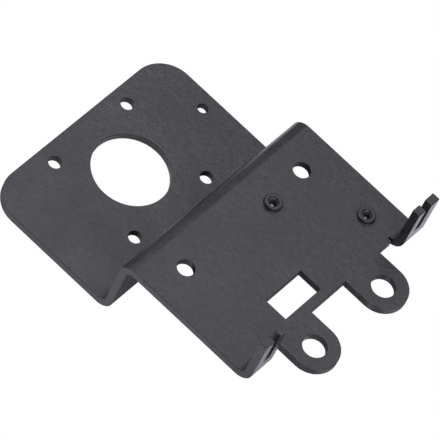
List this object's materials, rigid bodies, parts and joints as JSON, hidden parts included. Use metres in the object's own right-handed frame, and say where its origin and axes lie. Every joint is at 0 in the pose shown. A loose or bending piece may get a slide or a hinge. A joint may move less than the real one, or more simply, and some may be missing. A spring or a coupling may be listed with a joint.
{
  "type": "extruder mounting plate",
  "caption": "Stepped sheet-steel carriage plate with a motor bore and screw holes, wheel bolt holes, eccentric-nut lobes, a window, tapped collars and upturned slotted belt tabs.",
  "frame": {"origin": "midway between the two wheel bolt holes, on the top face of the carriage plate", "axes": "+X along the folds, +Y across the plate towards the motor, +Z square to the plates towards the belt tabs"},
  "size_m": [0.075, 0.1045, 0.0408],
  "materials": {
    "coated_steel": "fine-textured matte black powder coat"
  },
  "bodies": {
    "root": {"mounting_plate": "coated_steel"}
  },
  "joints": []
}
